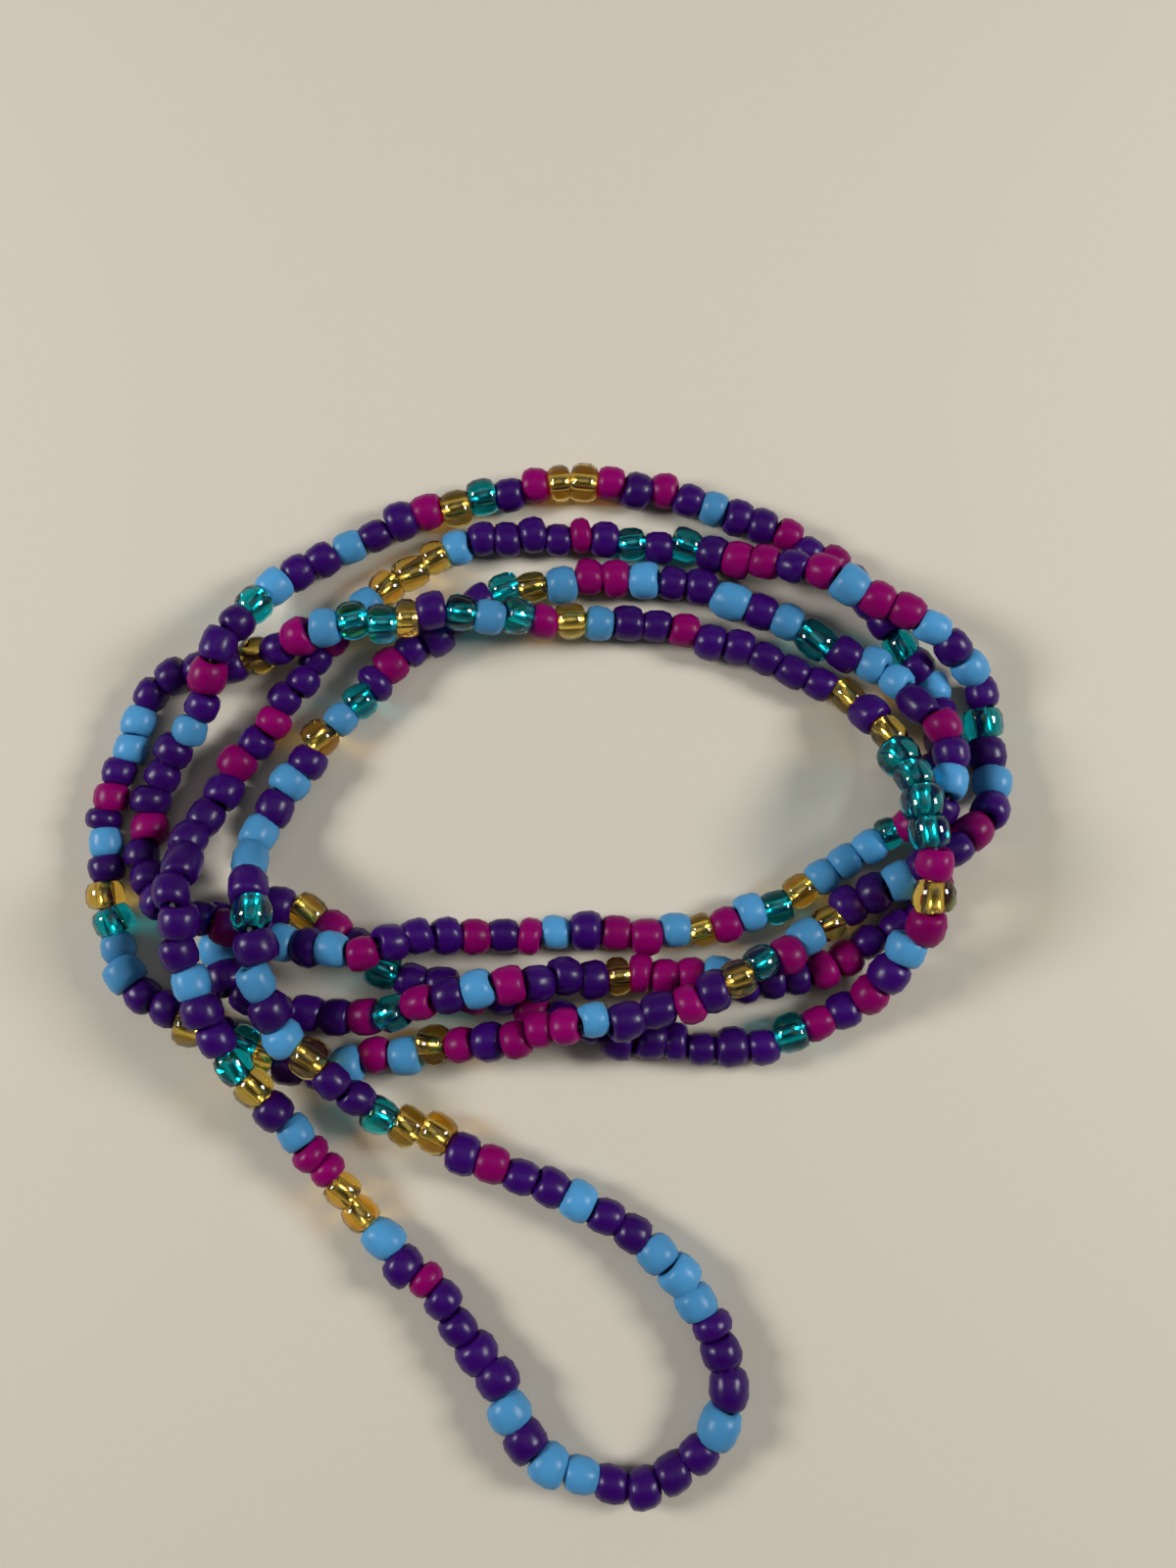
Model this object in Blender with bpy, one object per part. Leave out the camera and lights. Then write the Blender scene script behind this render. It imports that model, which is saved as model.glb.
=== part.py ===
"""Waist beads: one long closed string of seed beads, lying in a coil with one pulled-out lobe.

The beads themselves are fine, so the string is a closed tube of their diameter along its real route.
The object's own frame has x to the right, y away from the viewer and z up from the flat surface.
"""

import math

import bpy
import numpy as np

MM = 0.001

# Sizes of the string
BEAD_DIAMETER = 3.9 * MM
CROSSING_GAP = 0.4 * MM
LEVEL_STEP = BEAD_DIAMETER + CROSSING_GAP
TUBE_BEVEL_RESOLUTION = 2
LARGEST_BOW = 0.154 * BEAD_DIAMETER

# Sizes of the settling of crossing stretches
NEIGHBOUR_REACH = 2.4 * BEAD_DIAMETER
SAMPLES_PER_SPAN = 10
SETTLE_ROUNDS = 160
SETTLE_TOLERANCE = 0.03 * MM

STRING_COLOUR = (0.042, 0.010, 0.150, 1.0)

# The string's route in millimetres, seen from above, with the number of stretches that lie under it.
# It starts at the bottom of the lobe and goes round clockwise.
ROUTE = [
    # left side of the lobe, then up the inner left
    (8.3, -54.0, 0), (-1.0, -50.4, 0), (-8.4, -38.8, 0), (-21.0, -25.6, 0), (-29.3, -15.6, 0.5),
    (-34.5, -8.2, 1.2), (-37.0, -1.0, 1.4), (-37.9, 5.2, 1.9), (-38.1, 13.0, 0.5),
    (-33.5, 22.2, 0), (-27.0, 31.6, 0), (-21.8, 38.7, 0),
    # second stretch of the top, over the right end
    (-11.5, 46.0, 0), (4.0, 47.3, 0), (19.0, 45.7, 0), (30.0, 42.0, 0.9), (38.0, 37.9, 1.05),
    (43.5, 34.7, 0.9), (48.3, 30.0, 0.1), (48.8, 21.0, 0), (47.4, 15.3, 0.4), (42.5, 10.6, 1.1),
    (38.4, 8.2, 0.8),
    # lowest stretch of the front, leftwards
    (32.0, 4.8, 0.2), (20.8, -2.5, 1.1), (12.0, -5.8, 0.9), (3.3, -7.5, 1.1), (-4.5, -8.8, 0.5),
    (-14.0, -10.2, 0), (-26.0, -12.0, 0), (-36.0, -8.6, 0),
    # outermost left, upwards
    (-44.3, -3.5, 0), (-48.7, 7.0, 0), (-48.3, 19.0, 0), (-42.5, 30.6, 0), (-34.0, 33.4, 0.1),
    # innermost stretch of the top, down over the right end
    (-26.6, 35.0, 1.0), (-19.0, 36.2, 1.0), (-9.0, 37.2, 1.0), (1.0, 37.4, 0.2),
    (14.5, 36.4, 0), (32.5, 29.2, 0), (38.0, 21.7, 1.0), (40.1, 14.5, 2.0), (40.3, 8.4, 1.8),
    (38.4, 0.8, 0.8), (33.4, -4.7, 0),
    # front, leftwards under the others to the hairpin
    (25.0, -9.2, 0), (9.0, -9.0, 0), (-4.0, -5.0, 0), (-17.0, -1.4, 0), (-28.0, 5.0, 0),
    (-34.0, 5.2, 0), (-36.2, 0.8, 0), (-34.0, -4.0, 0),
    # from the hairpin rightwards along the front, up the right end
    (-27.0, -6.4, 0), (-19.0, -6.6, 0.3), (-12.0, -4.8, 1.0), (-4.5, -3.4, 1.0), (4.0, -2.8, 0.2),
    (16.0, -2.3, 0), (26.0, -3.2, 0), (35.8, 1.0, 0), (41.6, 5.2, 0), (43.2, 11.5, 0),
    (44.0, 21.0, 0), (43.6, 29.4, 0), (38.5, 36.8, 0),
    # outermost stretch of the top, leftwards
    (32.0, 44.6, 0), (20.0, 50.2, 0), (5.0, 54.3, 0), (-13.7, 50.1, 0), (-28.0, 43.9, 0),
    (-32.6, 38.3, 0.4), (-36.0, 33.0, 1.05),
    # second on the left, downwards, and over the hairpin
    (-38.5, 27.5, 0.5), (-43.4, 18.0, 0), (-44.3, 9.6, 0), (-41.0, 5.0, 0.5), (-35.6, 3.4, 1.0),
    (-28.5, 1.4, 0.7), (-20.4, 0.2, 1.0),
    # highest stretch of the front, rightwards, and its turn at the right end
    (-13.0, 1.3, 0.4), (-2.0, 2.2, 0), (15.0, 2.3, 0), (29.0, 6.6, 0), (38.0, 13.0, 0.4),
    (43.0, 15.6, 1.05), (44.2, 20.0, 1.05), (42.4, 25.4, 1.0),
    # third stretch of the top, leftwards
    (38.0, 30.4, 0.4), (21.0, 40.1, 0), (5.0, 42.2, 0), (-5.6, 40.6, 0),
    # innermost left, downwards, and the right side of the lobe
    (-18.0, 31.7, 0), (-27.0, 21.6, 0), (-31.6, 12.0, 0.3), (-31.2, 4.8, 1.4), (-29.8, -1.6, 1.5),
    (-27.2, -8.4, 1.1), (-22.6, -13.0, 1.0), (-16.0, -17.4, 0.1), (10.6, -30.0, 0),
    (18.5, -40.5, 0), (17.7, -49.2, 0),
]


def clear_scene():
    """Remove whatever the scene holds."""
    for item in list(bpy.data.objects):
        bpy.data.objects.remove(item, do_unlink=True)


def between(points, index, share):
    """Point on the smooth closed curve, a share of the way from one route point to the next."""
    count = len(points)
    before, start, end, after = (points[(index + step) % count] for step in (-1, 0, 1, 2))
    first = math.sqrt(np.linalg.norm(start - before))
    second = first + math.sqrt(np.linalg.norm(end - start))
    third = second + math.sqrt(np.linalg.norm(after - end))
    at = first + (second - first) * share
    low = before * (first - at) / first + start * at / first
    middle = (start * (second - at) + end * (at - first)) / (second - first)
    high = (end * (third - at) + after * (at - second)) / (third - second)
    left = (low * (second - at) + middle * at) / second
    right = (middle * (third - at) + high * (at - first)) / (third - first)
    return (left * (second - at) + right * (at - first)) / (second - first)


def laid_out():
    """Corners of the string as chosen, with a smooth one added in each span that bows."""
    rest = BEAD_DIAMETER / 2
    points = np.array([(x * MM, y * MM, rest + level * LEVEL_STEP) for x, y, level in ROUTE])
    corners = []
    for index in range(len(points)):
        corners.append(points[index])
        chord = (points[index] + points[(index + 1) % len(points)]) / 2
        halfway = between(points, index, 0.5)
        if np.linalg.norm(halfway - chord) > LARGEST_BOW:
            corners.append(halfway)
    corners = np.array(corners)
    corners[:, 2] = np.maximum(corners[:, 2], rest)
    return corners


def settled(corners):
    """Move the corners apart until no two stretches are closer than a diameter and the gap."""
    points = corners.copy()
    count = len(points)
    clear = BEAD_DIAMETER + CROSSING_GAP
    share = np.tile((np.arange(SAMPLES_PER_SPAN) + 0.5) / SAMPLES_PER_SPAN, count)
    first = np.repeat(np.arange(count), SAMPLES_PER_SPAN)
    second = (first + 1) % count
    rows = np.arange(len(first))
    for _ in range(SETTLE_ROUNDS):
        length = np.linalg.norm(np.roll(points, -1, axis=0) - points, axis=1)
        samples = points[first] * (1 - share)[:, None] + points[second] * share[:, None]
        place = (np.cumsum(length) - length)[first] + length[first] * share
        along = np.abs(place[:, None] - place[None, :])
        along = np.minimum(along, length.sum() - along)
        offset = samples[:, None, :] - samples[None, :, :]
        distance = np.linalg.norm(offset, axis=2)
        distance[along < NEIGHBOUR_REACH] = np.inf
        other = distance.argmin(axis=1)
        nearest = distance[rows, other]
        short = np.where(nearest < clear, clear - nearest, 0.0)
        if short.max() < SETTLE_TOLERANCE:
            break
        push = offset[rows, other] / nearest[:, None] * short[:, None] * 0.5
        move = np.zeros_like(points)
        weight = np.zeros(count)
        for column, part in ((first, 1 - share), (second, share)):
            np.add.at(move, column, push * part[:, None])
            np.add.at(weight, column, (short > 0) * part)
        points += move / np.maximum(weight, 1.0)[:, None]
        points[:, 2] = np.maximum(points[:, 2], BEAD_DIAMETER / 2)
    return points


def centred(corners):
    """Shift the corners so that the box round them is centred over the origin."""
    middle = (corners.min(axis=0) + corners.max(axis=0)) / 2
    return corners - np.array([middle[0], middle[1], 0.0])


def make_tube(name, corners, material):
    """Closed tube through the corners, with a flat side facing down."""
    curve = bpy.data.curves.new(name, "CURVE")
    curve.dimensions = "3D"
    curve.twist_mode = "Z_UP"
    curve.use_fill_caps = True
    curve.bevel_resolution = TUBE_BEVEL_RESOLUTION
    sides = 2 * (TUBE_BEVEL_RESOLUTION + 2)
    half_side = math.pi / sides
    curve.bevel_depth = BEAD_DIAMETER / 2 / math.cos(half_side)
    spline = curve.splines.new("POLY")
    spline.points.add(len(corners) - 1)
    for point, corner in zip(spline.points, corners):
        point.co = (corner[0], corner[1], corner[2], 1.0)
        point.tilt = half_side
    spline.use_cyclic_u = True
    curve.materials.append(material)
    tube = bpy.data.objects.new(name, curve)
    bpy.context.scene.collection.objects.link(tube)
    return tube


def make_material(name, colour):
    """Plain glossy material of the string's main colour."""
    material = bpy.data.materials.new(name)
    material.use_nodes = True
    shader = material.node_tree.nodes["Principled BSDF"]
    shader.inputs["Base Color"].default_value = colour
    shader.inputs["Roughness"].default_value = 0.22
    return material


def main():
    clear_scene()
    purple = make_material("purple_glass", STRING_COLOUR)
    make_tube("bead_string", centred(settled(laid_out())), purple)


main()
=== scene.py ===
"""Waist beads, dressed: glass seed beads strung in their charted order along the string's route."""

import math
import random

import bmesh
import bpy
import numpy as np
from bpy.props import FloatProperty, FloatVectorProperty, IntProperty, PointerProperty
from mathutils import Matrix, Vector


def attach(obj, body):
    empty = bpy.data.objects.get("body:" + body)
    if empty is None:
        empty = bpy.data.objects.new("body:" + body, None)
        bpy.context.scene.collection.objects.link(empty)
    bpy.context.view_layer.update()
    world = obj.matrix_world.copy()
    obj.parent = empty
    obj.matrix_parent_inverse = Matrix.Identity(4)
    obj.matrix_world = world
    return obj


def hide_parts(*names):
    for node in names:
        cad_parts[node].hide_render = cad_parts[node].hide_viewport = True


bl_info = {
    "name": "Waist Beads",
    "version": (1, 0, 0),
    "blender": (4, 5, 0),
    "location": "View3D > Sidebar > Waist Beads",
    "description": "Strings glass seed beads along a coiled closed string",
    "category": "Object",
}

MM = 0.001

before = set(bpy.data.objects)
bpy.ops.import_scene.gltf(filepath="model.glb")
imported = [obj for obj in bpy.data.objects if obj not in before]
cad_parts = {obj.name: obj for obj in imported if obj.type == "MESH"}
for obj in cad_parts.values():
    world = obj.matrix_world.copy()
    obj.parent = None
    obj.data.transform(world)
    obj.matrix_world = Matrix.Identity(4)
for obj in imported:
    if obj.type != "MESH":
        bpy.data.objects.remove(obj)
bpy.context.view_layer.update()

# The string's route in millimetres, seen from above, with the number of stretches that lie under it.
# It starts at the bottom of the lobe and goes round clockwise.
ROUTE = [
    # left side of the lobe, then up the inner left
    (8.3, -54.0, 0), (-1.0, -50.4, 0), (-8.4, -38.8, 0), (-21.0, -25.6, 0), (-29.3, -15.6, 0.5),
    (-34.5, -8.2, 1.2), (-37.0, -1.0, 1.4), (-37.9, 5.2, 1.9), (-38.1, 13.0, 0.5),
    (-33.5, 22.2, 0), (-27.0, 31.6, 0), (-21.8, 38.7, 0),
    # second stretch of the top, over the right end
    (-11.5, 46.0, 0), (4.0, 47.3, 0), (19.0, 45.7, 0), (30.0, 42.0, 0.9), (38.0, 37.9, 1.05),
    (43.5, 34.7, 0.9), (48.3, 30.0, 0.1), (48.8, 21.0, 0), (47.4, 15.3, 0.4), (42.5, 10.6, 1.1),
    (38.4, 8.2, 0.8),
    # lowest stretch of the front, leftwards
    (32.0, 4.8, 0.2), (20.8, -2.5, 1.1), (12.0, -5.8, 0.9), (3.3, -7.5, 1.1), (-4.5, -8.8, 0.5),
    (-14.0, -10.2, 0), (-26.0, -12.0, 0), (-36.0, -8.6, 0),
    # outermost left, upwards
    (-44.3, -3.5, 0), (-48.7, 7.0, 0), (-48.3, 19.0, 0), (-42.5, 30.6, 0), (-34.0, 33.4, 0.1),
    # innermost stretch of the top, down over the right end
    (-26.6, 35.0, 1.0), (-19.0, 36.2, 1.0), (-9.0, 37.2, 1.0), (1.0, 37.4, 0.2),
    (14.5, 36.4, 0), (32.5, 29.2, 0), (38.0, 21.7, 1.0), (40.1, 14.5, 2.0), (40.3, 8.4, 1.8),
    (38.4, 0.8, 0.8), (33.4, -4.7, 0),
    # front, leftwards under the others to the hairpin
    (25.0, -9.2, 0), (9.0, -9.0, 0), (-4.0, -5.0, 0), (-17.0, -1.4, 0), (-28.0, 5.0, 0),
    (-34.0, 5.2, 0), (-36.2, 0.8, 0), (-34.0, -4.0, 0),
    # from the hairpin rightwards along the front, up the right end
    (-27.0, -6.4, 0), (-19.0, -6.6, 0.3), (-12.0, -4.8, 1.0), (-4.5, -3.4, 1.0), (4.0, -2.8, 0.2),
    (16.0, -2.3, 0), (26.0, -3.2, 0), (35.8, 1.0, 0), (41.6, 5.2, 0), (43.2, 11.5, 0),
    (44.0, 21.0, 0), (43.6, 29.4, 0), (38.5, 36.8, 0),
    # outermost stretch of the top, leftwards
    (32.0, 44.6, 0), (20.0, 50.2, 0), (5.0, 54.3, 0), (-13.7, 50.1, 0), (-28.0, 43.9, 0),
    (-32.6, 38.3, 0.4), (-36.0, 33.0, 1.05),
    # second on the left, downwards, and over the hairpin
    (-38.5, 27.5, 0.5), (-43.4, 18.0, 0), (-44.3, 9.6, 0), (-41.0, 5.0, 0.5), (-35.6, 3.4, 1.0),
    (-28.5, 1.4, 0.7), (-20.4, 0.2, 1.0),
    # highest stretch of the front, rightwards, and its turn at the right end
    (-13.0, 1.3, 0.4), (-2.0, 2.2, 0), (15.0, 2.3, 0), (29.0, 6.6, 0), (38.0, 13.0, 0.4),
    (43.0, 15.6, 1.05), (44.2, 20.0, 1.05), (42.4, 25.4, 1.0),
    # third stretch of the top, leftwards
    (38.0, 30.4, 0.4), (21.0, 40.1, 0), (5.0, 42.2, 0), (-5.6, 40.6, 0),
    # innermost left, downwards, and the right side of the lobe
    (-18.0, 31.7, 0), (-27.0, 21.6, 0), (-31.6, 12.0, 0.3), (-31.2, 4.8, 1.4), (-29.8, -1.6, 1.5),
    (-27.2, -8.4, 1.1), (-22.6, -13.0, 1.0), (-16.0, -17.4, 0.1), (10.6, -30.0, 0),
    (18.5, -40.5, 0), (17.7, -49.2, 0),
]

# Sizes of the string, as in the solid model
BEAD_DIAMETER = 3.9 * MM
CROSSING_GAP = 0.4 * MM
LEVEL_STEP = BEAD_DIAMETER + CROSSING_GAP
LARGEST_BOW = 0.154 * BEAD_DIAMETER
NEIGHBOUR_REACH = 2.4 * BEAD_DIAMETER
SAMPLES_PER_SPAN = 10
SETTLE_ROUNDS = 160
SETTLE_TOLERANCE = 0.03 * MM
SMOOTH_STEPS = 24

# The beads are a little wider than the tube, so the thread lies a little higher than its middle
LIFT = 0.25 * MM

# The order of the beads. Each line gives how far along the string its first bead begins, in
# millimetres from the lobe's bottom, then the beads: p purple, m magenta, b sky blue, t teal, g gold.
# A bead marked - is short and one marked + is long.
STRINGING = [
    (-3.5, "p p b b p b p p"),
    (23.1, "p p m- p b+ g g m-"),
    (47.1, "m- b p g t p p b"),
    (72.3, "p p p p+ p p p m"),
    (100.8, "p m p p p m g b"),
    (123.7, "g g+ g b p p p p"),
    (147.7, "m- p t p t p m m"),
    (172.0, "p m b m m b p b"),
    (199.1, "p t p b p m p p"),
    (227.1, "b p p g b m t g"),
    (251.6, "p m p+ p+ b m m m"),
    (276.4, "p m g b m b p p"),
    (301.8, "g- t p g p p b b"),
    (325.4, "t g p b p- m p b"),
    (348.1, "b p p p p g p m"),
    (374.2, "b t t g- p t b t"),
    (398.6, "m g b p p m p p"),
    (424.4, "p p p g p g t t"),
    (451.4, "t t m g m b p m"),
    (478.4, "p m t p p p p- p"),
    (503.4, "p p p m p m p p"),
    (530.0, "t p m g p p p b"),
    (557.6, "p p p p p m t m"),
    (584.8, "p b m p p p g- m-"),
    (608.8, "m m b p p p m m"),
    (632.1, "p p p m p p p p"),
    (658.5, "p p b p t p p p"),
    (683.0, "m p m p p b p m"),
    (707.0, "p m g g- m p t g"),
    (731.6, "m p p b p p b t"),
    (758.0, "p p+ m+ p b p p p"),
    (783.8, "m p p p p p m p"),
    (808.3, "b p b m p p p m"),
    (833.0, "p m- b p m m b g-"),
    (857.5, "m b t g b b b t-"),
    (880.7, "m p b p m p+ b b"),
    (907.8, "p t+ b p b+ p p b"),
    (935.5, "m m b g t p p p"),
    (960.8, "p m p- t b g p b"),
    (984.1, "p b b+ p t p b p"),
    (1013.1, "b g p p t g g"),
    (1036.2, "p m p p b p p b"),
    (1062.6, "b b p- p p+ b+ p p"),
]

# Length of the charted string in millimetres, and how long a short and a long bead are
CHART_LENGTH = 1092.5
SHORT_SHARE = 0.74
LONG_SHARE = 1.28

# The letter that stands for each kind of bead
KINDS = {
    "purple_beads": "p",
    "magenta_beads": "m",
    "sky_blue_beads": "b",
    "teal_beads": "t",
    "gold_beads": "g",
}


def between(points, index, share):
    """Point on the smooth closed curve, a share of the way from one route point to the next."""
    count = len(points)
    before, start, end, after = (points[(index + step) % count] for step in (-1, 0, 1, 2))
    first = math.sqrt(np.linalg.norm(start - before))
    second = first + math.sqrt(np.linalg.norm(end - start))
    third = second + math.sqrt(np.linalg.norm(after - end))
    at = first + (second - first) * share
    low = before * (first - at) / first + start * at / first
    middle = (start * (second - at) + end * (at - first)) / (second - first)
    high = (end * (third - at) + after * (at - second)) / (third - second)
    left = (low * (second - at) + middle * at) / second
    right = (middle * (third - at) + high * (at - first)) / (third - first)
    return (left * (second - at) + right * (at - first)) / (second - first)


def laid_out():
    """Corners of the string as chosen, with a smooth one added in each span that bows."""
    rest = BEAD_DIAMETER / 2
    points = np.array([(x * MM, y * MM, rest + level * LEVEL_STEP) for x, y, level in ROUTE])
    corners = []
    for index in range(len(points)):
        corners.append(points[index])
        chord = (points[index] + points[(index + 1) % len(points)]) / 2
        halfway = between(points, index, 0.5)
        if np.linalg.norm(halfway - chord) > LARGEST_BOW:
            corners.append(halfway)
    corners = np.array(corners)
    corners[:, 2] = np.maximum(corners[:, 2], rest)
    return corners


def settled(corners):
    """Move the corners apart until no two stretches are closer than a diameter and the gap."""
    points = corners.copy()
    count = len(points)
    clear = BEAD_DIAMETER + CROSSING_GAP
    share = np.tile((np.arange(SAMPLES_PER_SPAN) + 0.5) / SAMPLES_PER_SPAN, count)
    first = np.repeat(np.arange(count), SAMPLES_PER_SPAN)
    second = (first + 1) % count
    rows = np.arange(len(first))
    for _ in range(SETTLE_ROUNDS):
        length = np.linalg.norm(np.roll(points, -1, axis=0) - points, axis=1)
        samples = points[first] * (1 - share)[:, None] + points[second] * share[:, None]
        place = (np.cumsum(length) - length)[first] + length[first] * share
        along = np.abs(place[:, None] - place[None, :])
        along = np.minimum(along, length.sum() - along)
        offset = samples[:, None, :] - samples[None, :, :]
        distance = np.linalg.norm(offset, axis=2)
        distance[along < NEIGHBOUR_REACH] = np.inf
        other = distance.argmin(axis=1)
        nearest = distance[rows, other]
        short = np.where(nearest < clear, clear - nearest, 0.0)
        if short.max() < SETTLE_TOLERANCE:
            break
        push = offset[rows, other] / nearest[:, None] * short[:, None] * 0.5
        move = np.zeros_like(points)
        weight = np.zeros(count)
        for column, part in ((first, 1 - share), (second, share)):
            np.add.at(move, column, push * part[:, None])
            np.add.at(weight, column, (short > 0) * part)
        points += move / np.maximum(weight, 1.0)[:, None]
        points[:, 2] = np.maximum(points[:, 2], BEAD_DIAMETER / 2)
    return points


def thread_line():
    """Points close together along the whole settled string, and how far along it each one lies."""
    corners = settled(laid_out())
    middle = (corners.min(axis=0) + corners.max(axis=0)) / 2
    corners = corners - np.array([middle[0], middle[1], 0.0])
    line = []
    for index in range(len(corners)):
        for step in range(SMOOTH_STEPS):
            line.append(between(corners, index, step / SMOOTH_STEPS))
    line = np.array(line)
    line[:, 2] = np.maximum(line[:, 2], BEAD_DIAMETER / 2) + LIFT
    closed = np.vstack([line, line[:1]])
    run = np.concatenate([[0.0], np.cumsum(np.linalg.norm(np.diff(closed, axis=0), axis=1))])
    return closed, run


LINE, RUN = thread_line()


def place_at(distance):
    """Point of the string at a distance along it, in metres."""
    at = distance % RUN[-1]
    return Vector([float(np.interp(at, RUN, LINE[:, axis])) for axis in range(3)])


def strung_beads():
    """Every bead in order: its letter, and where it begins and ends along the string."""
    stretch = RUN[-1] / CHART_LENGTH
    beads = []
    for number, (start, names) in enumerate(STRINGING):
        if number + 1 < len(STRINGING):
            end = STRINGING[number + 1][0]
        else:
            end = STRINGING[0][0] + CHART_LENGTH
        marks = names.split()
        shares = []
        for mark in marks:
            shares.append(SHORT_SHARE if mark.endswith("-") else LONG_SHARE if mark.endswith("+") else 1.0)
        at = start
        for mark, share in zip(marks, shares):
            length = (end - start) * share / sum(shares)
            beads.append((mark[0], at * stretch, (at + length) * stretch))
            at += length
    return beads


class WaistBeadSizes(bpy.types.PropertyGroup):
    """Sizes of the beads and the thread."""

    width: FloatProperty(
        name="Bead width", description="Usual outer width of a bead", default=4.08 * MM, unit="LENGTH")
    width_spread: FloatProperty(
        name="Width spread", description="How much the widths differ, as a share", default=0.11)
    hole: FloatProperty(
        name="Hole share", description="Width of the hole as a share of the bead", default=0.31)
    gap: FloatProperty(
        name="Gap", description="Space between two beads, below zero where uneven ends meet",
        default=-0.12 * MM, unit="LENGTH")
    lean: FloatProperty(
        name="Lean", description="Largest lean of a bead off the thread", default=0.2, subtype="ANGLE")
    sway: FloatProperty(
        name="Sway", description="Largest shift of a bead off the thread", default=0.48 * MM,
        unit="LENGTH")
    thread_width: FloatProperty(
        name="Thread width", description="Width of the thread", default=0.6 * MM, unit="LENGTH")
    seed: IntProperty(
        name="Seed", description="Seed of the small differences between beads", default=7)


class WaistBeadColours(bpy.types.PropertyGroup):
    """Colours of the glass, the linings and the thread."""

    purple: FloatVectorProperty(
        name="Purple glass", description="Colour of the opaque purple beads", subtype="COLOR",
        default=(0.026, 0.001, 0.095))
    magenta: FloatVectorProperty(
        name="Magenta glass", description="Colour of the opaque magenta beads", subtype="COLOR",
        default=(0.200, 0.000, 0.092))
    sky_blue: FloatVectorProperty(
        name="Sky blue glass", description="Colour of the opaque sky blue beads", subtype="COLOR",
        default=(0.060, 0.255, 0.490))
    teal: FloatVectorProperty(
        name="Teal glass", description="Tint of the clear teal beads", subtype="COLOR",
        default=(0.003, 0.540, 0.650))
    gold: FloatVectorProperty(
        name="Gold glass", description="Tint of the clear gold beads", subtype="COLOR",
        default=(0.980, 0.655, 0.115))
    lining: FloatVectorProperty(
        name="Lining", description="Colour of the bright lining in the clear beads", subtype="COLOR",
        default=(0.850, 0.830, 0.780))
    thread: FloatVectorProperty(
        name="Thread", description="Colour of the thread", subtype="COLOR",
        default=(0.080, 0.070, 0.080))


class WaistBeadStage(bpy.types.PropertyGroup):
    """Floor and light."""

    floor: FloatVectorProperty(
        name="Floor", description="Colour of the floor", subtype="COLOR", default=(0.60, 0.55, 0.455))
    side_light: FloatProperty(
        name="Side lights", description="Power of the two side lights in watts", default=2.0)
    top_light: FloatProperty(
        name="Top light", description="Power of the soft light above in watts", default=0.37)


# Looks of the surfaces: darkest and lightest tint as shares of the colour, then the scale of the waves
# and their depth
OPAQUE_LOOK = (0.72, 1.25, 700.0, 0.10 * MM)
CLEAR_LOOK = (0.80, 1.15, 500.0, 0.02 * MM)
METAL_LOOK = (0.70, 1.10, 900.0, 0.04 * MM)
THREAD_LOOK = (0.60, 1.40, 3000.0, 0.05 * MM)
CLOUD_SCALE = 420.0
CLOUD_WEIGHT = 0.35
TINT_WEIGHT = 0.72
NOISE_DETAIL = 2.0
BUMP_STRENGTH = 0.5
GLASS_IOR = 1.5
CLEAR_ROUGHNESS = 0.04
METAL_ROUGHNESS = 0.22
THREAD_ROUGHNESS = 0.6

# Light that passes through clear glass: a grey share and a share of the glass's colour
PASSING_GREY = 0.06
PASSING_TINT = 0.54

# Roughness and shine of each opaque glass, and what its beads add to the seed
OPAQUE_KINDS = {
    "purple": (0.30, 0.24, 100),
    "magenta": (0.32, 0.12, 200),
    "sky_blue": (0.36, 0.24, 300),
}
# What the beads of each clear glass add to the seed
CLEAR_KINDS = {"teal": 400, "gold": 500}


def principled(name):
    """New material, with its shader node and its node tree."""
    material = bpy.data.materials.new(name)
    material.use_nodes = True
    return material, material.node_tree.nodes["Principled BSDF"], material.node_tree


def add_node(tree, kind, place=(0, 0), **values):
    """Node of a tree with its properties set."""
    node = tree.nodes.new(kind)
    node.location = place
    for key, value in values.items():
        setattr(node, key, value)
    return node


def colour_ramp(tree, place, first, last, last_at=1.0):
    """Node that goes from one colour to another."""
    ramp = add_node(tree, "ShaderNodeValToRGB", place)
    ramp.color_ramp.elements[0].position = 0.0
    ramp.color_ramp.elements[0].color = first
    ramp.color_ramp.elements[1].position = last_at
    ramp.color_ramp.elements[1].color = last
    return ramp


def uneven_colour(tree, shader, colour, darker, lighter):
    """Bead colours that differ a little from bead to bead, with a faint cloud within each one."""
    tint = add_node(tree, "ShaderNodeAttribute", (-900, 300), attribute_name="tint")
    place = add_node(tree, "ShaderNodeTexCoord", (-1100, 0))
    cloud = add_node(tree, "ShaderNodeTexNoise", (-900, 50))
    cloud.inputs["Scale"].default_value = CLOUD_SCALE
    cloud.inputs["Detail"].default_value = NOISE_DETAIL
    tree.links.new(place.outputs["Object"], cloud.inputs["Vector"])
    both = add_node(tree, "ShaderNodeMath", (-700, 200), operation="MULTIPLY_ADD")
    both.inputs[1].default_value = TINT_WEIGHT
    tree.links.new(tint.outputs["Fac"], both.inputs[0])
    share = add_node(tree, "ShaderNodeMath", (-700, 0), operation="MULTIPLY")
    share.inputs[1].default_value = CLOUD_WEIGHT
    tree.links.new(cloud.outputs["Fac"], share.inputs[0])
    tree.links.new(share.outputs[0], both.inputs[2])
    dark = (*[part * darker for part in colour], 1.0)
    light = (*[min(1.0, part * lighter) for part in colour], 1.0)
    ramp = colour_ramp(tree, (-500, 200), dark, light)
    tree.links.new(both.outputs[0], ramp.inputs["Fac"])
    tree.links.new(ramp.outputs["Color"], shader.inputs["Base Color"])
    return place


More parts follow.
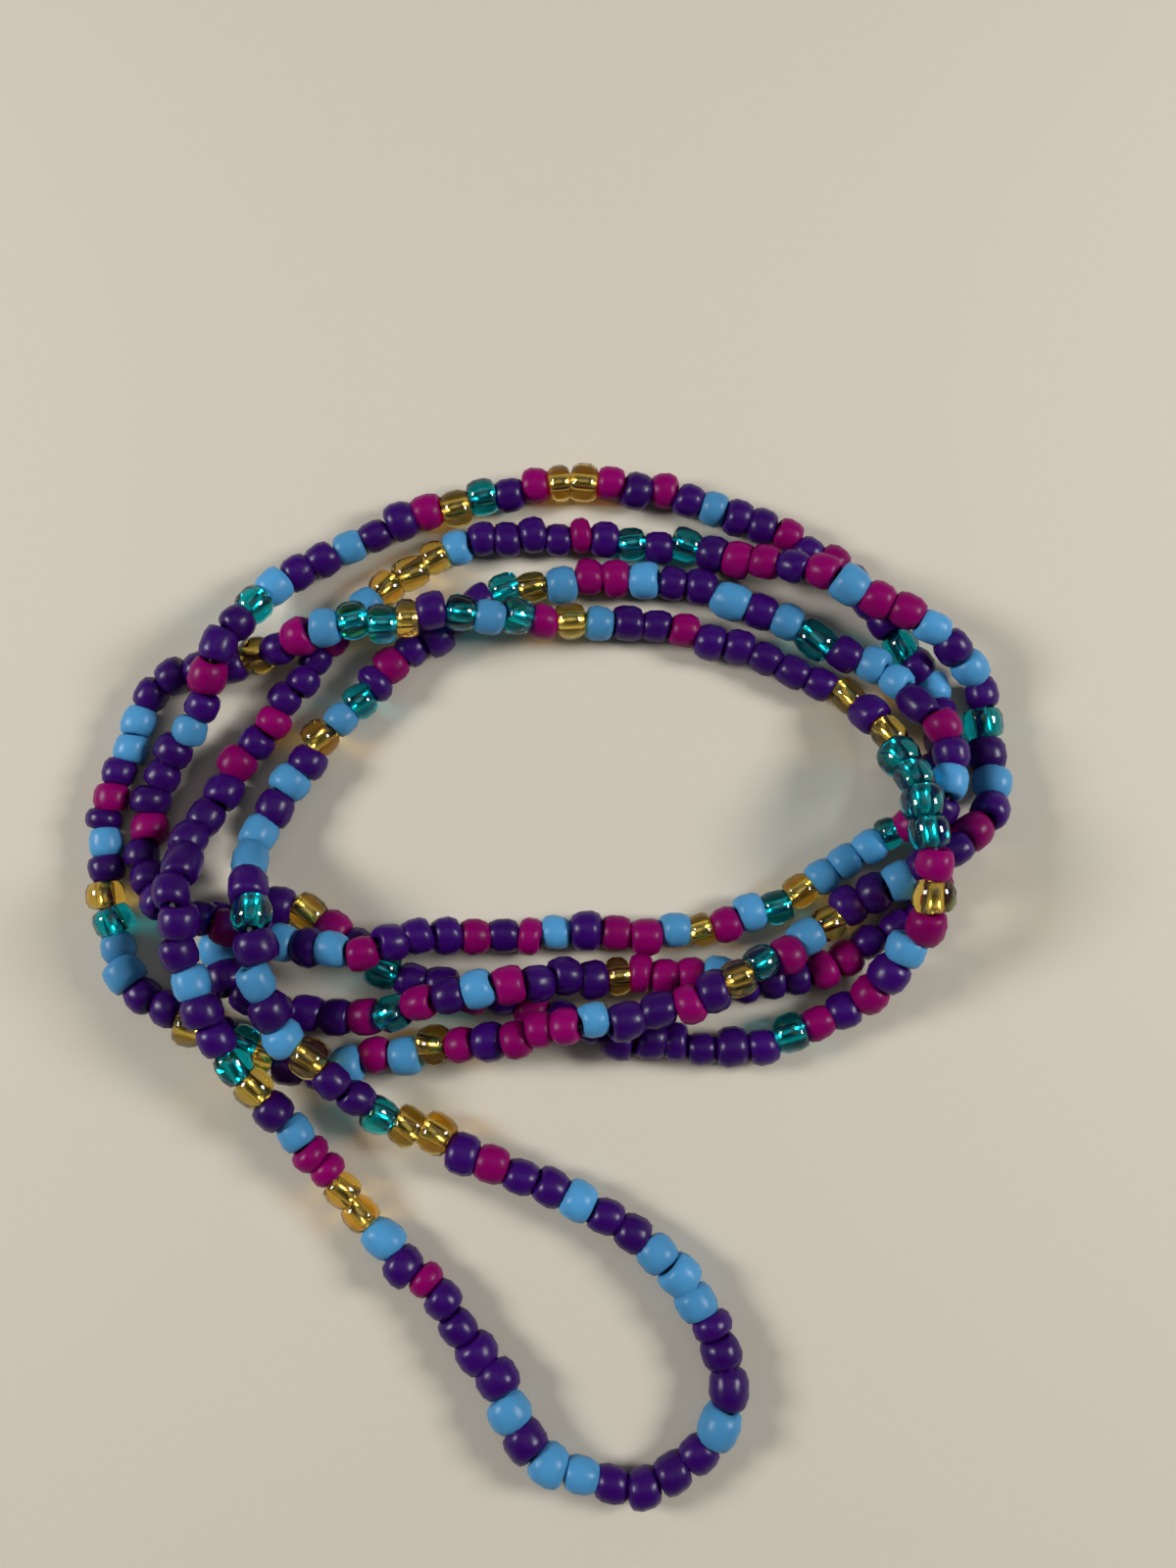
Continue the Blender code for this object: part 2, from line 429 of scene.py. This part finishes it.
def moulded_surface(tree, shader, place, scale, depth):
    """The soft unevenness of drawn and tumbled glass."""
    waves = add_node(tree, "ShaderNodeTexNoise", (-900, -350))
    waves.inputs["Scale"].default_value = scale
    waves.inputs["Detail"].default_value = NOISE_DETAIL
    tree.links.new(place.outputs["Object"], waves.inputs["Vector"])
    bump = add_node(tree, "ShaderNodeBump", (-500, -350))
    bump.inputs["Strength"].default_value = BUMP_STRENGTH
    bump.inputs["Distance"].default_value = depth
    tree.links.new(waves.outputs["Fac"], bump.inputs["Height"])
    tree.links.new(bump.outputs["Normal"], shader.inputs["Normal"])


def uneven_surface(name, colour, look, roughness):
    """New material with uneven colour and soft waves, with its shader node and its node tree."""
    darker, lighter, wave_scale, wave_depth = look
    material, shader, tree = principled(name)
    place = uneven_colour(tree, shader, colour, darker, lighter)
    moulded_surface(tree, shader, place, wave_scale, wave_depth)
    shader.inputs["Roughness"].default_value = roughness
    return material, shader, tree


def opaque_glass(name, colour, roughness, shine):
    """Opaque coloured glass with a tumbled gloss."""
    material, shader, _ = uneven_surface(name, colour, OPAQUE_LOOK, roughness)
    shader.inputs["IOR"].default_value = GLASS_IOR
    shader.inputs["Specular IOR Level"].default_value = shine
    return material


def clear_glass(name, colour):
    """Clear tinted glass that lets lamps shine through it."""
    material, shader, tree = uneven_surface(name, colour, CLEAR_LOOK, CLEAR_ROUGHNESS)
    shader.inputs["IOR"].default_value = GLASS_IOR
    shader.inputs["Transmission Weight"].default_value = 1.0
    paths = add_node(tree, "ShaderNodeLightPath", (0, 500))
    passing = add_node(tree, "ShaderNodeBsdfTransparent", (0, -400))
    passed = [PASSING_GREY + PASSING_TINT * part for part in colour]
    passing.inputs["Color"].default_value = (*passed, 1.0)
    either = add_node(tree, "ShaderNodeMixShader", (300, 200))
    tree.links.new(paths.outputs["Is Shadow Ray"], either.inputs["Fac"])
    tree.links.new(shader.outputs[0], either.inputs[1])
    tree.links.new(passing.outputs[0], either.inputs[2])
    tree.links.new(either.outputs[0], tree.nodes["Material Output"].inputs["Surface"])
    return material


def bright_metal(name, colour):
    """Thin bright lining of a clear bead's hole."""
    material, shader, _ = uneven_surface(name, colour, METAL_LOOK, METAL_ROUGHNESS)
    shader.inputs["Metallic"].default_value = 1.0
    return material


def thread_fibre(name, colour):
    """Fine nylon thread."""
    return uneven_surface(name, colour, THREAD_LOOK, THREAD_ROUGHNESS)[0]


# Forms of the beads: each ring of a profile is a share of the length along the bead, then for glass a
# share of the way out from the hole, and for a lining its radius as a share of the hole's
BEAD_SIDES = 12
ROUND_PROFILE = [(-0.45, 0.0), (-0.50, 0.36), (-0.42, 0.72), (-0.18, 0.98), (0.18, 0.98), (0.42, 0.72),
                 (0.50, 0.36), (0.45, 0.0)]
FULL_PROFILE = [(-0.47, 0.0), (-0.50, 0.58), (-0.45, 0.85), (-0.24, 0.98), (0.24, 0.98), (0.45, 0.85),
                (0.50, 0.58), (0.47, 0.0)]
LINING_PROFILE = [(-0.43, 1.50), (-0.35, 1.20), (-0.16, 1.06), (0.16, 1.06), (0.35, 1.20), (0.43, 1.50),
                  (0.41, 1.02), (-0.41, 1.02)]
LINING_SIDES = 10
SHAPE_COUNT = 6
FULLNESS_RANGE = (0.0, 0.65)
LUMP_RANGES = ((0.015, 0.05), (0.0, 0.03))
SLANT_RANGE = (0.02, 0.12)
CONE_RANGE = (-0.12, 0.12)

# Lowest height of a bead's middle above the floor, as a share of its radius
FLOOR_ROOM = 1.06


def ringed_form(name, rings):
    """Object of smooth faces between rings of points, with the last ring joined to the first."""
    shape = bmesh.new()
    placed = [[shape.verts.new(point) for point in ring] for ring in rings]
    for one, two in zip(placed, placed[1:] + placed[:1]):
        for side in range(len(one)):
            after = (side + 1) % len(one)
            face = shape.faces.new((one[side], one[after], two[after], two[side]))
            face.smooth = True
    bmesh.ops.recalc_face_normals(shape, faces=shape.faces[:])
    mesh = bpy.data.meshes.new(name)
    shape.to_mesh(mesh)
    shape.free()
    return bpy.data.objects.new(name, mesh)


def bead_form(name, hole, rng):
    """One slightly lumpy drilled bead, a unit long along X and a unit in radius."""
    lump = [rng.uniform(*limits) for limits in LUMP_RANGES]
    phase = [rng.uniform(0, 2 * math.pi) for _ in range(4)]
    slant = [rng.uniform(*SLANT_RANGE) for _ in range(2)]
    cone = rng.uniform(*CONE_RANGE)
    full = rng.uniform(*FULLNESS_RANGE)
    rings = []
    for soft, hard in zip(ROUND_PROFILE, FULL_PROFILE):
        along, out = [one + (two - one) * full for one, two in zip(soft, hard)]
        end = 0 if along < 0 else 1
        ring = []
        for side in range(BEAD_SIDES):
            angle = 2 * math.pi * side / BEAD_SIDES
            radius = hole + (1.0 - hole) * out
            uneven = lump[0] * math.cos(2 * angle + phase[0]) + lump[1] * math.cos(3 * angle + phase[1])
            radius *= 1 + out * (uneven + cone * along)
            tip = slant[end] * math.cos(angle + phase[2 + end])
            ring.append((along + tip * abs(along), radius * math.cos(angle), radius * math.sin(angle)))
        rings.append(ring)
    return ringed_form(name, rings)


def lining_form(name, hole):
    """Open sleeve that lies just inside the glass round a bead's hole."""
    rings = []
    for along, out in LINING_PROFILE:
        radius = hole * out
        ring = []
        for side in range(LINING_SIDES):
            angle = 2 * math.pi * side / LINING_SIDES
            ring.append((along, radius * math.cos(angle), radius * math.sin(angle)))
        rings.append(ring)
    return ringed_form(name, rings)


def add_input(tree, name, kind):
    """New input of a node group."""
    tree.interface.new_socket(name, in_out="INPUT", socket_type=kind)


# What each random value of the stringing adds to the seed, and how far the shift goes up and down as a
# share of how far it goes sideways
SHIFT_STEP = 1
TINT_STEP = 2
LEAN_STEP = 3
ROLL_STEP = 4
WIDTH_STEP = 5
SHAPE_STEP = 6
UPWARD_SWAY = 0.3


def stringing_tree(name, material):
    """Geometry Nodes that put one of several bead shapes on each point, turned along the thread."""
    tree = bpy.data.node_groups.new(name, "GeometryNodeTree")
    add_input(tree, "Geometry", "NodeSocketGeometry")
    for label, kind in (("Bead shapes", "NodeSocketCollection"), ("Width", "NodeSocketFloat"),
                        ("Width spread", "NodeSocketFloat"), ("Lean", "NodeSocketFloat"),
                        ("Sway", "NodeSocketFloat"), ("Seed", "NodeSocketInt")):
        add_input(tree, label, kind)
    tree.interface.new_socket("Geometry", in_out="OUTPUT", socket_type="NodeSocketGeometry")
    link = tree.links.new
    given = add_node(tree, "NodeGroupInput", (-1400, 0))
    shown = add_node(tree, "NodeGroupOutput", (900, 0))

    def chance(low, high, step, place, kind="FLOAT"):
        """Random value with its own seed, counted on from the tree's seed."""
        seed = add_node(tree, "ShaderNodeMath", (place[0] - 200, place[1]), operation="ADD")
        seed.inputs[1].default_value = step
        link(given.outputs["Seed"], seed.inputs[0])
        node = add_node(tree, "FunctionNodeRandomValue", place, data_type=kind)
        slots = {"FLOAT": (2, 3), "INT": (4, 5), "FLOAT_VECTOR": (0, 1)}[kind]
        node.inputs[slots[0]].default_value = low
        node.inputs[slots[1]].default_value = high
        link(seed.outputs[0], node.inputs["Seed"])
        return node.outputs[{"FLOAT": 1, "INT": 2, "FLOAT_VECTOR": 0}[kind]]

    def product(one, two, place):
        """Two values multiplied, as a vector."""
        node = add_node(tree, "ShaderNodeVectorMath", place, operation="MULTIPLY")
        link(one, node.inputs[0])
        link(two, node.inputs[1])
        return node.outputs[0]

    # Each bead's radius
    spread = add_node(tree, "ShaderNodeMath", (-900, -950), operation="MULTIPLY_ADD")
    link(chance(-1.0, 1.0, WIDTH_STEP, (-1100, -950)), spread.inputs[0])
    link(given.outputs["Width spread"], spread.inputs[1])
    spread.inputs[2].default_value = 1.0
    wide = add_node(tree, "ShaderNodeMath", (-700, -950), operation="MULTIPLY")
    link(spread.outputs[0], wide.inputs[0])
    link(given.outputs["Width"], wide.inputs[1])
    radius = add_node(tree, "ShaderNodeMath", (-500, -950), operation="MULTIPLY")
    link(wide.outputs[0], radius.inputs[0])
    radius.inputs[1].default_value = 0.5

    # Its shift off the thread, which never takes it down into the floor
    heading = add_node(tree, "GeometryNodeInputNamedAttribute", (-1300, 600), data_type="FLOAT_VECTOR")
    heading.inputs["Name"].default_value = "heading"
    facing = add_node(tree, "FunctionNodeEulerToRotation", (-1100, 600))
    link(heading.outputs["Attribute"], facing.inputs[0])
    swaying = chance((0, -1, -UPWARD_SWAY), (0, 1, UPWARD_SWAY), SHIFT_STEP, (-900, 500), "FLOAT_VECTOR")
    shift = product(swaying, given.outputs["Sway"], (-700, 500))
    aside = add_node(tree, "FunctionNodeRotateVector", (-550, 500))
    link(shift, aside.inputs["Vector"])
    link(facing.outputs[0], aside.inputs["Rotation"])
    moved = add_node(tree, "GeometryNodeSetPosition", (-400, 300))
    link(given.outputs["Geometry"], moved.inputs["Geometry"])
    link(aside.outputs[0], moved.inputs["Offset"])
    place = add_node(tree, "GeometryNodeInputPosition", (-900, 900))
    parts = add_node(tree, "ShaderNodeSeparateXYZ", (-700, 900))
    link(place.outputs[0], parts.inputs[0])
    rest = add_node(tree, "ShaderNodeMath", (-700, 1100), operation="MULTIPLY")
    link(radius.outputs[0], rest.inputs[0])
    rest.inputs[1].default_value = FLOOR_ROOM
    height = add_node(tree, "ShaderNodeMath", (-500, 1000), operation="MAXIMUM")
    link(parts.outputs["Z"], height.inputs[0])
    link(rest.outputs[0], height.inputs[1])
    resting = add_node(tree, "ShaderNodeCombineXYZ", (-500, 850))
    link(parts.outputs["X"], resting.inputs["X"])
    link(parts.outputs["Y"], resting.inputs["Y"])
    link(height.outputs[0], resting.inputs["Z"])
    settled_down = add_node(tree, "GeometryNodeSetPosition", (-250, 600))
    link(moved.outputs["Geometry"], settled_down.inputs["Geometry"])
    link(resting.outputs[0], settled_down.inputs["Position"])

    # Its own shade of the colour
    tinted = add_node(tree, "GeometryNodeStoreNamedAttribute", (-150, 300),
                      data_type="FLOAT", domain="POINT")
    tinted.inputs["Name"].default_value = "tint"
    link(settled_down.outputs["Geometry"], tinted.inputs["Geometry"])
    link(chance(0.0, 1.0, TINT_STEP, (-400, 600)), tinted.inputs["Value"])

    # The forms that it is picked from
    shapes = add_node(tree, "GeometryNodeCollectionInfo", (-400, -50))
    shapes.inputs["Separate Children"].default_value = True
    shapes.inputs["Reset Children"].default_value = True
    link(given.outputs["Bead shapes"], shapes.inputs["Collection"])

    # Its turn along the thread, then its lean, then its roll round the thread
    tilt = chance((0, -1, -1), (0, 1, 1), LEAN_STEP, (-900, -500), "FLOAT_VECTOR")
    leaning = product(tilt, given.outputs["Lean"], (-700, -500))
    rolling = add_node(tree, "ShaderNodeCombineXYZ", (-700, -700))
    link(chance(0.0, 2 * math.pi, ROLL_STEP, (-900, -700)), rolling.inputs["X"])
    tipped = add_node(tree, "FunctionNodeEulerToRotation", (-500, -500))
    link(leaning, tipped.inputs[0])
    rolled = add_node(tree, "FunctionNodeEulerToRotation", (-500, -700))
    link(rolling.outputs[0], rolled.inputs[0])
    turn_one = add_node(tree, "FunctionNodeRotateRotation", (-300, -400), rotation_space="LOCAL")
    link(facing.outputs[0], turn_one.inputs[0])
    link(tipped.outputs[0], turn_one.inputs[1])
    turn_two = add_node(tree, "FunctionNodeRotateRotation", (-100, -400), rotation_space="LOCAL")
    link(turn_one.outputs[0], turn_two.inputs[0])
    link(rolled.outputs[0], turn_two.inputs[1])

    # Its length and width
    long = add_node(tree, "GeometryNodeInputNamedAttribute", (-700, -1150), data_type="FLOAT")
    long.inputs["Name"].default_value = "long"
    size = add_node(tree, "ShaderNodeCombineXYZ", (-300, -950))
    link(long.outputs["Attribute"], size.inputs["X"])
    link(radius.outputs[0], size.inputs["Y"])
    link(radius.outputs[0], size.inputs["Z"])

    # All the beads, as one plain mesh
    strung = add_node(tree, "GeometryNodeInstanceOnPoints", (150, 100))
    strung.inputs["Pick Instance"].default_value = True
    link(tinted.outputs["Geometry"], strung.inputs["Points"])
    link(shapes.outputs[0], strung.inputs["Instance"])
    link(chance(0, SHAPE_COUNT - 1, SHAPE_STEP, (-100, -150), "INT"), strung.inputs["Instance Index"])
    link(turn_two.outputs[0], strung.inputs["Rotation"])
    link(size.outputs[0], strung.inputs["Scale"])
    real = add_node(tree, "GeometryNodeRealizeInstances", (400, 100))
    link(strung.outputs["Instances"], real.inputs[0])
    finish = add_node(tree, "GeometryNodeSetMaterial", (650, 100))
    finish.inputs["Material"].default_value = material
    link(real.outputs[0], finish.inputs["Geometry"])
    link(finish.outputs[0], shown.inputs["Geometry"])
    return tree


# Number of sides of the thread, and of points of the string's line from one of its bends to the next
THREAD_SIDES = 6
THREAD_STRIDE = 6


def thread_tree(name, material):
    """Geometry Nodes that sweep a round thread along a line of edges."""
    tree = bpy.data.node_groups.new(name, "GeometryNodeTree")
    add_input(tree, "Geometry", "NodeSocketGeometry")
    add_input(tree, "Thread width", "NodeSocketFloat")
    tree.interface.new_socket("Geometry", in_out="OUTPUT", socket_type="NodeSocketGeometry")
    link = tree.links.new
    given = add_node(tree, "NodeGroupInput", (-600, 0))
    shown = add_node(tree, "NodeGroupOutput", (800, 0))
    half = add_node(tree, "ShaderNodeMath", (-400, -200), operation="MULTIPLY")
    half.inputs[1].default_value = 0.5
    link(given.outputs["Thread width"], half.inputs[0])
    ring = add_node(tree, "GeometryNodeCurvePrimitiveCircle", (-200, -200))
    ring.inputs["Resolution"].default_value = THREAD_SIDES
    link(half.outputs[0], ring.inputs["Radius"])
    path = add_node(tree, "GeometryNodeMeshToCurve", (-200, 0))
    link(given.outputs["Geometry"], path.inputs[0])
    sweep = add_node(tree, "GeometryNodeCurveToMesh", (100, 0))
    link(path.outputs[0], sweep.inputs["Curve"])
    link(ring.outputs[0], sweep.inputs["Profile Curve"])
    real = add_node(tree, "GeometryNodeRealizeInstances", (300, 0))
    link(sweep.outputs[0], real.inputs[0])
    finish = add_node(tree, "GeometryNodeSetMaterial", (500, 0))
    finish.inputs["Material"].default_value = material
    link(real.outputs[0], finish.inputs["Geometry"])
    link(finish.outputs[0], shown.inputs["Geometry"])
    return tree


def grown(name, start, tree, values):
    """Plain mesh object that a node tree makes from a starting object, which is removed."""
    bpy.context.scene.collection.objects.link(start)
    modifier = start.modifiers.new("Nodes", "NODES")
    modifier.node_group = tree
    sockets = {item.name: item.identifier for item in tree.interface.items_tree if item.in_out == "INPUT"}
    for label, value in values.items():
        modifier[sockets[label]] = value
    graph = bpy.context.evaluated_depsgraph_get()
    mesh = bpy.data.meshes.new_from_object(start.evaluated_get(graph), depsgraph=graph)
    mesh.name = name
    bpy.data.objects.remove(start, do_unlink=True)
    piece = bpy.data.objects.new(name, mesh)
    bpy.context.scene.collection.objects.link(piece)
    return piece


def bead_points(name, letter):
    """Points at the beads of one kind, with where each faces and how long it is."""
    gap = bpy.context.scene.waist_bead_sizes.gap
    places, headings, lengths = [], [], []
    for kind, start, end in strung_beads():
        if kind != letter:
            continue
        one, two = place_at(start), place_at(end)
        along = (two - one).normalized()
        across = Vector((0, 0, 1)).cross(along).normalized()
        up = along.cross(across)
        turn = Matrix((along, across, up)).transposed()
        places.append((one + two) / 2)
        headings.append(turn.to_euler("XYZ"))
        lengths.append((two - one).length - gap)
    mesh = bpy.data.meshes.new(name)
    mesh.from_pydata([tuple(place) for place in places], [], [])
    heading = mesh.attributes.new("heading", "FLOAT_VECTOR", "POINT")
    heading.data.foreach_set("vector", [part for turn in headings for part in turn])
    long = mesh.attributes.new("long", "FLOAT", "POINT")
    long.data.foreach_set("value", lengths)
    return bpy.data.objects.new(name, mesh)


def shape_collection(name, shapes):
    """Collection of the shapes, outside the scene."""
    box = bpy.data.collections.new(name)
    for shape in shapes:
        box.objects.link(shape)
    return box


def string_up(name, letter, shapes, material, seed_step):
    """One piece: every bead of a kind on the string."""
    sizes = bpy.context.scene.waist_bead_sizes
    box = shape_collection(name + "_shapes", shapes)
    piece = grown(name, bead_points(name + "_points", letter), stringing_tree(name + "_tree", material), {
        "Bead shapes": box,
        "Width": sizes.width,
        "Width spread": sizes.width_spread,
        "Lean": sizes.lean,
        "Sway": sizes.sway,
        "Seed": sizes.seed + seed_step,
    })
    for shape in shapes:
        bpy.data.objects.remove(shape, do_unlink=True)
    bpy.data.collections.remove(box)
    return piece


def bead_shapes(name, step):
    """A handful of differing bead forms."""
    sizes = bpy.context.scene.waist_bead_sizes
    rng = random.Random(sizes.seed + step)
    return [bead_form(f"{name}_{index}", sizes.hole, rng) for index in range(SHAPE_COUNT)]


def opaque_piece(word):
    """One piece of opaque beads, riding on the string."""
    roughness, shine, step = OPAQUE_KINDS[word]
    colour = getattr(bpy.context.scene.waist_bead_colours, word)
    material = opaque_glass(word + "_glass", colour, roughness, shine)
    name = word + "_beads"
    piece = string_up(name, KINDS[name], bead_shapes(name, step), material, step)
    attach(piece, "root")
    return piece


class WAISTBEADS_OT_purple(bpy.types.Operator):
    """Strings the opaque purple beads"""

    bl_idname = "waistbeads.purple_beads"
    bl_label = "Purple Beads"

    def execute(self, context):
        piece = opaque_piece("purple")
        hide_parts("bead_string")
        return {"FINISHED"}


class WAISTBEADS_OT_magenta(bpy.types.Operator):
    """Strings the opaque magenta beads"""

    bl_idname = "waistbeads.magenta_beads"
    bl_label = "Magenta Beads"

    def execute(self, context):
        opaque_piece("magenta")
        return {"FINISHED"}


class WAISTBEADS_OT_sky_blue(bpy.types.Operator):
    """Strings the opaque sky blue beads"""

    bl_idname = "waistbeads.sky_blue_beads"
    bl_label = "Sky Blue Beads"

    def execute(self, context):
        opaque_piece("sky_blue")
        return {"FINISHED"}


class WAISTBEADS_OT_clear(bpy.types.Operator):
    """Strings the clear teal and gold beads and the bright linings in them"""

    bl_idname = "waistbeads.clear_beads"
    bl_label = "Clear Lined Beads"

    def execute(self, context):
        colours = context.scene.waist_bead_colours
        hole = context.scene.waist_bead_sizes.hole
        lining = bright_metal("bright_lining", colours.lining)
        for word, step in CLEAR_KINDS.items():
            name = word + "_beads"
            glass = clear_glass(word + "_glass", getattr(colours, word))
            piece = string_up(name, KINDS[name], bead_shapes(name, step), glass, step)
            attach(piece, "root")
            name = word + "_linings"
            sleeves = [lining_form(f"{name}_{index}", hole) for index in range(SHAPE_COUNT)]
            sleeve = string_up(name, KINDS[word + "_beads"], sleeves, lining, step)
            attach(sleeve, "root")
        return {"FINISHED"}


class WAISTBEADS_OT_thread(bpy.types.Operator):
    """Runs the thread through all the beads"""

    bl_idname = "waistbeads.thread"
    bl_label = "Thread"

    def execute(self, context):
        sizes = context.scene.waist_bead_sizes
        fibre = thread_fibre("thread", context.scene.waist_bead_colours.thread)
        points = [tuple(point) for point in LINE[:-1:THREAD_STRIDE]]
        edges = [(index, (index + 1) % len(points)) for index in range(len(points))]
        mesh = bpy.data.meshes.new("thread_line")
        mesh.from_pydata(points, edges, [])
        start = bpy.data.objects.new("thread_line", mesh)
        values = {"Thread width": sizes.thread_width}
        piece = grown("thread", start, thread_tree("thread_tree", fibre), values)
        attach(piece, "root")
        return {"FINISHED"}


# The camera looks down from where the photograph was taken, tilted a little from straight down
AIM = Vector((4.5 * MM, 19.0 * MM, 0.0))
CAMERA_TILT = math.radians(9.2)
CAMERA_DISTANCE = 144 * MM
CAMERA_LENS = 29.25
CAMERA_SENSOR = 36.0
CAMERA_NEAR = 0.005

# Places and widths of the lights, in metres, and the point that they face
LIGHT_TARGET = Vector((0, 10 * MM, 0))
LEFT_LIGHT_PLACE = Vector((-0.42, 0.06, 0.30))
RIGHT_LIGHT_PLACE = Vector((0.42, 0.06, 0.30))
TOP_LIGHT_PLACE = Vector((0.05, 0.15, 0.60))
SIDE_LIGHT_WIDTH = 0.15
TOP_LIGHT_WIDTH = 0.5

# The room round the stage: its colour at the horizon, and overhead from a share of the way up
HORIZON_COLOUR = (0.30, 0.30, 0.31, 1.0)
OVERHEAD_COLOUR = (0.02, 0.02, 0.021, 1.0)
OVERHEAD_FROM = 0.75

FLOOR_HALF_WIDTH = 1.5
FLOOR_ROUGHNESS = 0.85


def area_light(name, place, width, power):
    """Square soft light that faces the stage."""
    data = bpy.data.lights.new(name, "AREA")
    data.energy = power
    data.size = width
    light = bpy.data.objects.new(name, data)
    light.location = place
    light.rotation_euler = (LIGHT_TARGET - place).to_track_quat("-Z", "Y").to_euler()
    bpy.context.scene.collection.objects.link(light)


def soft_room():
    """World that is pale round the horizon and dim overhead, as a room with low lamps is."""
    world = bpy.data.worlds.new("soft_room")
    world.use_nodes = True
    tree = world.node_tree
    place = add_node(tree, "ShaderNodeTexCoord", (-900, 0))
    parts = add_node(tree, "ShaderNodeSeparateXYZ", (-700, 0))
    tree.links.new(place.outputs["Generated"], parts.inputs[0])
    ramp = colour_ramp(tree, (-500, 0), HORIZON_COLOUR, OVERHEAD_COLOUR, OVERHEAD_FROM)
    tree.links.new(parts.outputs["Z"], ramp.inputs["Fac"])
    tree.links.new(ramp.outputs["Color"], tree.nodes["Background"].inputs["Color"])
    return world


class WAISTBEADS_OT_stage(bpy.types.Operator):
    """Sets the floor, the soft lights and the camera"""

    bl_idname = "waistbeads.stage"
    bl_label = "Stage"

    def execute(self, context):
        scene = context.scene
        stage = scene.waist_bead_stage
        shape = bmesh.new()
        bmesh.ops.create_grid(shape, x_segments=2, y_segments=2, size=FLOOR_HALF_WIDTH)
        mesh = bpy.data.meshes.new("floor")
        shape.to_mesh(mesh)
        shape.free()
        floor = bpy.data.objects.new("floor", mesh)
        scene.collection.objects.link(floor)
        material, shader, _ = principled("floor_surface")
        shader.inputs["Base Color"].default_value = (*stage.floor, 1.0)
        shader.inputs["Roughness"].default_value = FLOOR_ROUGHNESS
        mesh.materials.append(material)

        scene.world = soft_room()
        scene.view_settings.view_transform = "Standard"
        area_light("left_light", LEFT_LIGHT_PLACE, SIDE_LIGHT_WIDTH, stage.side_light)
        area_light("right_light", RIGHT_LIGHT_PLACE, SIDE_LIGHT_WIDTH, stage.side_light)
        area_light("top_light", TOP_LIGHT_PLACE, TOP_LIGHT_WIDTH, stage.top_light)

        data = bpy.data.cameras.new("camera")
        data.lens = CAMERA_LENS
        data.sensor_width = CAMERA_SENSOR
        data.clip_start = CAMERA_NEAR
        camera = bpy.data.objects.new("camera", data)
        away = Vector((0.0, -math.sin(CAMERA_TILT), math.cos(CAMERA_TILT)))
        camera.location = AIM + away * CAMERA_DISTANCE
        camera.rotation_euler = (CAMERA_TILT, 0.0, 0.0)
        scene.collection.objects.link(camera)
        scene.camera = camera
        return {"FINISHED"}


class WAISTBEADS_PT_panel(bpy.types.Panel):
    """Sizes, colours and makers of the waist beads"""

    bl_idname = "WAISTBEADS_PT_panel"
    bl_label = "Waist Beads"
    bl_space_type = "VIEW_3D"
    bl_region_type = "UI"
    bl_category = "Waist Beads"

    def draw(self, context):
        layout = self.layout
        for group in (context.scene.waist_bead_sizes, context.scene.waist_bead_colours,
                      context.scene.waist_bead_stage):
            column = layout.column()
            for name in group.__annotations__:
                column.prop(group, name)
        for maker in MAKERS:
            layout.operator(maker.bl_idname)


MAKERS = (
    WAISTBEADS_OT_purple,
    WAISTBEADS_OT_magenta,
    WAISTBEADS_OT_sky_blue,
    WAISTBEADS_OT_clear,
    WAISTBEADS_OT_thread,
    WAISTBEADS_OT_stage,
)
CLASSES = (WaistBeadSizes, WaistBeadColours, WaistBeadStage) + MAKERS + (WAISTBEADS_PT_panel,)


def register():
    for item in CLASSES:
        bpy.utils.register_class(item)
    bpy.types.Scene.waist_bead_sizes = PointerProperty(type=WaistBeadSizes)
    bpy.types.Scene.waist_bead_colours = PointerProperty(type=WaistBeadColours)
    bpy.types.Scene.waist_bead_stage = PointerProperty(type=WaistBeadStage)


def unregister():
    del bpy.types.Scene.waist_bead_stage
    del bpy.types.Scene.waist_bead_colours
    del bpy.types.Scene.waist_bead_sizes
    for item in reversed(CLASSES):
        bpy.utils.unregister_class(item)


def main():
    register()
    bpy.ops.waistbeads.purple_beads()
    bpy.ops.waistbeads.magenta_beads()
    bpy.ops.waistbeads.sky_blue_beads()
    bpy.ops.waistbeads.clear_beads()
    bpy.ops.waistbeads.thread()
    bpy.ops.waistbeads.stage()


if __name__ == "__main__":
    main()
